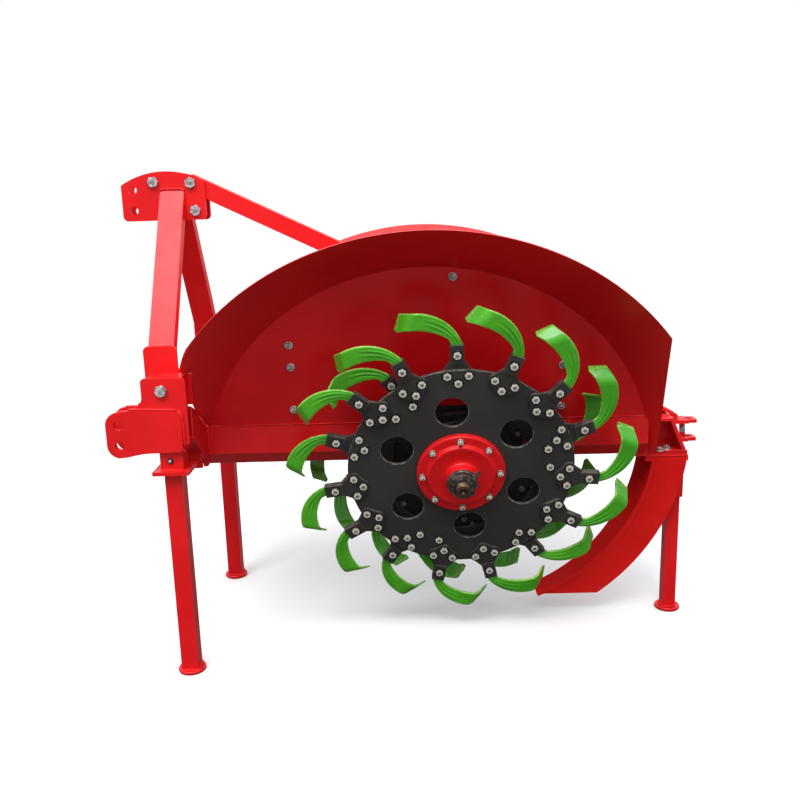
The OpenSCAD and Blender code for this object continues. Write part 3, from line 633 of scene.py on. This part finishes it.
for side, M in SIDES.items():
    RM = ROTOR[side]
    # facing plate over the bracket's outer cheek, with its welds
    Y = Matrix.Rotation(math.radians(90), 4, "X")          # outline (x, z), depth towards -y

    def upright(y):
        return Matrix.Translation(Vector((0, y, 0))) @ Y
    g = Geo()
    pins = [circle(-162, 929, 16.2), circle(-162, 860, 16.2)]
    g.prism(CHEEK, 0, 6.4, 0, upright(-458), holes=pins)
    g.prism([(-76 + (x + 76) * 0.988, 900 + (z - 900) * 0.982) for x, z in CHEEK], 6.2, 8, 0, upright(-458), holes=pins)
    g.prism(rounded([(51, 846), (71, 864), (71, 990), (30, 990), (30, 846)], [0, 0, 0, 0, 0]), -11.5, -0.3, 0, upright(-458))
    g.make(side + "_bracket_facing", M, "frame", [RED])
    g = Geo()
    top = [(-128, 980), (-100, 979.5), (-60, 978.5), (-20, 977), (20, 975.5), (36, 974)]
    g.bead([(x, -460.5, z + 2.5) for x, z in top], 5.2, pitch=9)
    g.bead([(38, -460.5, 974), (48, -460.5, 966), (53, -460.5, 950)] + [(54.5, -460.5, z) for z in range(930, 845, -20)], 5.6, pitch=8)
    # welds of the leg's ends, the foot and the arm
    g.bead([(-74, -39.5, 1640), (-74.8, -39.5, 1700), (-60, -39.5, 1704), (0, -39.5, 1704), (12.8, -39.5, 1700), (13, -39.5, 1640)], 3.4, pitch=6)
    g.bead([(-76, -348, 1090), (-76, -348, 1160)], 3.6, pitch=7)
    g.bead([(14, -348, 1160), (14, -348, 1090)], 3.6, pitch=7)
    g.bead([(61, -360, 962), (61, -300, 932), (61, -230, 893), (61, -168, 852)], 3.2, pitch=7)
    g.bead([(-46, -360, 962), (-46, -300, 932), (-46, -230, 893), (-46, -168, 852)], 3.2, pitch=7)
    g.bead([(62, -166, 844), (62, -166, 760), (60, -150, 728)], 4.2, pitch=7)
    g.bead([(-36, -449, 767), (36, -449, 767)], 3.4, pitch=6)
    g.bead([(39, -446, 767), (39, -374, 767)], 3.4, pitch=6)
    g.bead([(-39, -446, 767), (-39, -374, 767)], 3.4, pitch=6)
    g.bead([(39, -446, 770), (39, -446, 828)], 3.0, pitch=6)
    # shield's foot on the beam
    g.bead([(110, -166.5, 846), (400, -166.5, 846), (705, -166.5, 846)], 3.0, pitch=11)
    g.bead([(1234, -166.5, 846), (1400, -166.5, 846), (1640, -166.5, 846)], 3.0, pitch=11)
    g.make(side + "_welds", M, "frame", [RED_WELD])

    # bolts: mast foot, top plate, shield, bearing flange, stays
    g = Geo()
    out = (0, -1, 0)
    g.hexhead(frame_at((-10, -458, 1043), out, 9), 20.5, 12, 0, (9, 1.0), 1)
    g.hexhead(frame_at((-10, -349, 1043), (0, 1, 0), 22), 19.5, 17, 0, (11, 9), 1, washer=21)
    for x, z, t in ((-97, 1730, 4), (38, 1724, 31), (50, 1626, 12)):
        g.hexhead(frame_at((x, -38, z), out, t), 20, 11, 0, (8.5, 1.0), 1)
        if side == "near":
            g.lathe([(0.1, -8), (9.9, -8), (9.9, 60), (0.1, 60)], 16, 1, True, frame_at((x, -30, z), (0, 1, 0)))
    for x, z in ((-2, 798),):
        g.lathe([(3.2, -2), (10.5, -2), (10.5, 3), (9.4, 4.5), (7.4, 4.8), (3.2, 4.8)], 24, 2, True, frame_at((x, -448, z), out))
        g.lathe([(0.1, 2), (5.8, 2), (5.8, 8), (4.2, 10), (0.1, 10.4)], 20, 0, True, frame_at((x, -448, z), out))
    g.make(side + "_frame_bolts", M, "frame", [HEAD, STUD, DARK_STEEL])
    g = Geo()
    for i, (x, y) in enumerate(SHIELD_BOLTS):
        g.hexhead(frame_at((x, y, -173), (0, 0, 1), 17 * i), 11.5, 8, 0, (5.5, 3), 1, washer=15)
        back = -178 if abs(x + 21) < 5 else -190
        g.hexhead(frame_at((x, y, back), (0, 0, -1), 11 * i), 11.5, 10, 0, (6, 5), 1, washer=14)
    for j in range(8):
        a = math.radians(22.5 + 45 * j)
        g.hexhead(frame_at((100 * math.cos(a), 100 * math.sin(a), -32), (0, 0, 1), 9 * j), 9.5, 7, 1, None, washer=None)
    g.make(side + "_shield_bolts", RM, "frame", [HEAD, STUD])

    # gusset under the arm and the collar's lug
    g = Geo()
    g.prism(rounded([(-38, 714), (58, 714), (58, 790), (-38, 790)], 6), 0, 10, 0, upright(-252))
    g.prism(rounded([(44, 700), (60, 700), (66, 716), (60, 734), (44, 734)], 3), 0, 26, 0, upright(-168))
    # The gusset takes the darker red copy: painted shade under the arm.
    g.make(side + "_arm_gusset", M, "frame", [RED_PAINTED_SHADE], bevel=1.2)

    # bearing housing: turned cover, and bolts round its flanges
    g = Geo()
    g.lathe([(32, -31.8), (70, -31.8), (74, -30), (76, -28.4), (60, -27.4), (44, -27), (34, -26.6), (32, -27)], 64, 0, True)
    g.lathe([(150, -64.2), (165, -64.2), (166, -62.6), (163, -60), (154, -60), (151, -61.6), (150, -63)], 96, 0, True)
    for j in range(12):
        a = math.radians(11 + 30 * j)
        g.hexhead(frame_at((182 * math.cos(a), 182 * math.sin(a), -70), (0, 0, 1), 20 * j), 10.5, 7, 1, None, washer=13, washer_mat=0)
    g.make(side + "_housing_cover", RM, "frame", [CAST, DARK_STEEL], bevel=0.8)

    # gear case: lip, ribs and bolts on its side
    g = Geo()
    g.prism(rounded([(713, 891), (1226, 891), (1226, 907), (713, 907)], 3), 0, 7, 0, upright(-169))
    g.prism(rounded([(1168, 770), (1190, 770), (1190, 893), (1168, 893)], 3), 0, 9, 0, upright(-170))
    g.prism(rounded([(752, 770), (774, 770), (774, 893), (752, 893)], 3), 0, 9, 0, upright(-170))
    g.prism(rounded([(717, 748), (880, 748), (880, 760), (717, 760)], 3), 0, 8, 0, upright(-170))
    g.prism(rounded([(1100, 748), (1222, 748), (1222, 760), (1100, 760)], 3), 0, 8, 0, upright(-170))
    for x, z in ((732, 790), (732, 862), (1207, 790), (1207, 862), (1140, 862), (800, 862)):
        g.hexhead(frame_at((x, -171, z), (0, -1, 0), x % 50), 11, 8, 1, (5.5, 3), 1, washer=14, washer_mat=0)
    g.make(side + "_gear_case_trim", M, "frame", [CAST, STUD], bevel=1.0)

# ------------------------------------------------------------------ legs
for name, x, y, body, w in (("near", 0, -410, "near_leg_body", 60), ("far", 0, 410, "far_leg_body", 60), ("rear", 1838, 0, "rear_leg_body", 50)):
    g = Geo()
    P = Matrix.Translation(Vector((x, y, 0)))
    g.lathe([(0.5, 0.4), (42, 0.4), (46, 1.6), (48.6, 4.6), (49.2, 8.5), (48, 12), (45, 13.6), (42, 13.4), (40.4, 12.2), (0.5, 12.2)], 64, 0, True, P)
    h = w / 2 + 1.2
    g.bead([(-h, -h, 14), (h, -h, 14), (h, h, 14), (-h, h, 14)], 3.4, P, 1, 6, closed=True)
    g.make(name + "_leg_pad", STATION, body, [RED, RED_WELD])

# ------------------------------------------------------------------ middle of the frame
g = Geo()
cover = rounded([(880, -78), (1098, -78), (1098, 78), (880, 78)], 14)
g.prism(cover, 904.8, 911, 0)
g.lathe([(0.5, 852), (15, 852), (15, 866), (11, 868), (11, 880), (17, 881), (19, 884), (19, 893), (16, 897), (0.5, 898)], 32, 0, True, Matrix.Translation(Vector((1056, 40, 58))))
g.make("gear_case_cover", STATION, "frame", [CAST], bevel=1.0)
g = Geo()
for x in (896, 989, 1082):
    for y in (-64, 64):
        g.hexhead(frame_at((x, y, 911), (0, 0, 1), 7 * (x % 5)), 10.5, 7, 0, None, washer=13)
for y in (-64, 64):
    for x, y2, z, ax in ((1755, -96, 690, (0, 0, 1)), (1787, -78, 690, (0, 0, 1))):
        g.hexhead(frame_at((x, y2 if y < 0 else -y2, z), ax, 11), 12.5, 9, 0, (6.5, 4), 1, washer=15)
g.hexhead(frame_at((1866, -6, 748), (0, -1, 0), 8), 10, 8, 0, (5.5, 3), 1, washer=12)
for j in range(4):
    a = math.radians(45 + 90 * j)
    g.hexhead(frame_at((-69, 45.5 * math.cos(a), 784.4 + 45.5 * math.sin(a)), (-1, 0, 0), 10), 9, 6.5, 0)
g.make("middle_bolts", STATION, "frame", [HEAD, STUD])

# splined stub
g = Geo()
prof = []
for j in range(6):
    a = 60 * j
    for r, d in ((14.8, -21), (14.8, -15), (17.4, -12.5), (17.4, 12.5), (14.8, 15), (14.8, 21)):
        prof.append((r * math.cos(math.radians(a + d)), r * math.sin(math.radians(a + d))))
IN = frame_at((-165, 0, 784.434), (1, 0, 0))
small = [(x * 0.9, y * 0.9) for x, y in prof]
g.loft([[(x, y, 0) for x, y in small], [(x, y, 2) for x, y in prof], [(x, y, 26) for x, y in prof], [(x * 0.86, y * 0.86, 27.5) for x, y in prof],
        [(x * 0.86, y * 0.86, 33.5) for x, y in prof], [(x, y, 35) for x, y in prof], [(x, y, 70) for x, y in prof]], 0, False, IN)
g.lathe([(0.5, 69), (17.45, 69), (17.5, 74), (21.5, 74.6), (22, 75.4), (22, 79.6), (21.4, 80), (17.5, 80), (17.5, 131), (0.5, 131)], 40, 0, False, IN)
g.make("input_stub_splined", STATION, "input_shaft", [STEEL], bevel=0.5, replaces="input_stub")

# welds and small plates of the rear end
g = Geo()
for s in (-1, 1):
    g.bead([(1704, s * 105, 690), (1780, s * 105, 690), (1852, s * 105, 690)], 3.4, pitch=8)
    g.bead([(1704, s * 104.5, 671), (1780, s * 104.5, 671), (1854, s * 104.5, 671)], 3.4, pitch=8)
    g.bead([(1715, s * 100, 651), (1780, s * 100, 651), (1850, s * 100, 651)], 3.6, pitch=8)
    g.bead([(1701.5, s * 105, 694), (1701.5, s * 105, 804)], 3.2, pitch=8)
    g.bead([(87, s * 27, 1735 - 10), (87, s * 27, 1672)], 3.2, pitch=7)
    pts = []
    for i in range(30):
        a = math.radians(-68 + 61 * i / 29)
        x, z = 1040 + 711 * math.cos(a), 740 + 711 * math.sin(a)
        if z < 100 or z > 640:
            continue
        half = 45 + (z - 90) / (653 - 90) * 60
        pts.append((x, s * (half + 0.4), z))
    g.bead(pts, 3.0, pitch=9)
g.bead([(1859, -33, 706), (1859, 33, 706)], 3.2, pitch=7)
g.bead([(1841, -33, 791.5), (1841, 33, 791.5)], 3.0, pitch=7)
g.bead([(1801, -100, 816), (1801, -40, 816)], 3.0, pitch=8)
g.bead([(1801, 40, 816), (1801, 100, 816)], 3.0, pitch=8)
g.make("rear_welds", STATION, "frame", [RED_WELD])
g = Geo()
g.prism(rounded([(1860, 720.5), (1880, 720.5), (1875, 776.5), (1856, 776.5)], 3), -6, 6, 0, Matrix.Rotation(math.radians(90), 4, "X") )
for s in (-1, 1):
    g.lathe([(20.2, 0), (34, 0), (34, 9), (32.5, 10), (20.2, 10)], 36, 0, False, frame_at((958, s * 309, 1372), (0, -s, 0)))
g.make("rear_web_and_collars", STATION, "frame", [RED], bevel=1.0)

# ------------------------------------------------------------------ stage
def disc_mesh(name, radius, z, n=96):
    g = Geo()
    me = bpy.data.meshes.new(name)
    ring = [(radius * math.cos(2 * math.pi * j / n), radius * math.sin(2 * math.pi * j / n), z) for j in range(n)]
    me.from_pydata(ring, [], [tuple(range(n))])
    o = bpy.data.objects.new(name, me)
    bpy.context.scene.collection.objects.link(o)
    return o


floor = disc_mesh("floor", 14.0, 0.0)
a = Mat("floor_pale")
a.link(a.mix(a.noise(1.2, 3), (0.80, 0.80, 0.80, 1), (0.83, 0.83, 0.83, 1)), a.p.inputs["Base Color"])
a.p.inputs["Roughness"].default_value = 0.9
a.p.inputs["Specular IOR Level"].default_value = 0.1
clear = a.n("ShaderNodeBsdfTransparent")
mixs = a.n("ShaderNodeMixShader")
ln = a.n("ShaderNodeVectorMath", operation="LENGTH")
a.link(a.co, ln.inputs[0])
a.link(a.ramp(ln.outputs["Value"], 1.5, 3.4), mixs.inputs[0])
a.link(a.p.outputs[0], mixs.inputs[1])
a.link(clear.outputs[0], mixs.inputs[2])
a.link(mixs.outputs[0], a.out.inputs[0])
floor.data.materials.append(a.m)
floor.visible_diffuse = False
floor.visible_glossy = False

bounce = disc_mesh("floor_bounce", 30.0, -0.004)
a = Mat("floor_grey")
a.link(a.mix(a.noise(0.8, 3), (0.15, 0.146, 0.142, 1), (0.18, 0.175, 0.17, 1)), a.p.inputs["Base Color"])
a.p.inputs["Roughness"].default_value = 0.9
bounce.data.materials.append(a.m)
bounce.visible_camera = False

dome_me = bpy.data.meshes.new("backdrop")
bm = bmesh.new()
bmesh.ops.create_uvsphere(bm, u_segments=48, v_segments=24, radius=45)
bm.to_mesh(dome_me)
bm.free()
dome = bpy.data.objects.new("backdrop", dome_me)
bpy.context.scene.collection.objects.link(dome)
a = Mat("backdrop_white")
em = a.n("ShaderNodeEmission")
em.inputs["Color"].default_value = (1, 1, 1, 1)
em.inputs["Strength"].default_value = 1.0
a.link(em.outputs[0], a.out.inputs[0])
dome_me.materials.append(a.m)
for k in ("visible_diffuse", "visible_glossy", "visible_transmission", "visible_volume_scatter", "visible_shadow"):
    setattr(dome, k, False)

world = bpy.data.worlds.new("studio")
bpy.context.scene.world = world
world.use_nodes = True
wt = world.node_tree
wt.nodes.clear()
wo = wt.nodes.new("ShaderNodeOutputWorld")
wb = wt.nodes.new("ShaderNodeBackground")
wc = wt.nodes.new("ShaderNodeTexCoord")
ws = wt.nodes.new("ShaderNodeSeparateXYZ")
wr = wt.nodes.new("ShaderNodeValToRGB")
wr.color_ramp.elements[0].position = 0.0
wr.color_ramp.elements[0].color = (0.34, 0.34, 0.345, 1)
wr.color_ramp.elements[1].position = 0.70
wr.color_ramp.elements[1].color = (0.95, 0.97, 1.0, 1)
wt.links.new(wc.outputs["Generated"], ws.inputs[0])
wt.links.new(ws.outputs["Z"], wr.inputs[0])
wt.links.new(wr.outputs[0], wb.inputs[0])
wb.inputs[1].default_value = 1.5
wt.links.new(wb.outputs[0], wo.inputs[0])


def softbox(name, loc, aim, size, power):
    l = bpy.data.lights.new(name, "AREA")
    l.shape = "RECTANGLE"
    l.size, l.size_y = size
    l.energy = power
    o = bpy.data.objects.new(name, l)
    o.location = loc
    o.rotation_euler = (Vector(aim) - Vector(loc)).to_track_quat("-Z", "Y").to_euler()
    bpy.context.scene.collection.objects.link(o)
    return o


softbox("key", (-1.35, -3.75, 7.75), (0, 0, 0.7), (6.6, 4.2), 640)

# ------------------------------------------------------------------ camera
yaw, pitch, roll = math.radians(0.748), math.radians(12.507), math.radians(-1.600)
turn = Matrix.Rotation(yaw, 3, "Z") @ Matrix.Rotation(-pitch, 3, "X")
right, ahead, up = turn.col[0].copy(), turn.col[1].copy(), turn.col[2].copy()
cr, sr = math.cos(roll), math.sin(roll)
cam_right, cam_up = cr * right + sr * up, -sr * right + cr * up
cam = bpy.data.cameras.new("camera")
cam.sensor_fit = "HORIZONTAL"
cam.sensor_width = 36
cam.lens = 36 * 849.2 / 800
camera = bpy.data.objects.new("camera", cam)
m = Matrix((cam_right, cam_up, -ahead)).transposed().to_4x4()
m.translation = S(816.7, -3206.0, 1601.8)
camera.matrix_world = m
bpy.context.scene.collection.objects.link(camera)
bpy.context.scene.camera = camera
vs = bpy.context.scene.view_settings
vs.view_transform = "Standard"
vs.look = "None"
vs.exposure = 0.0
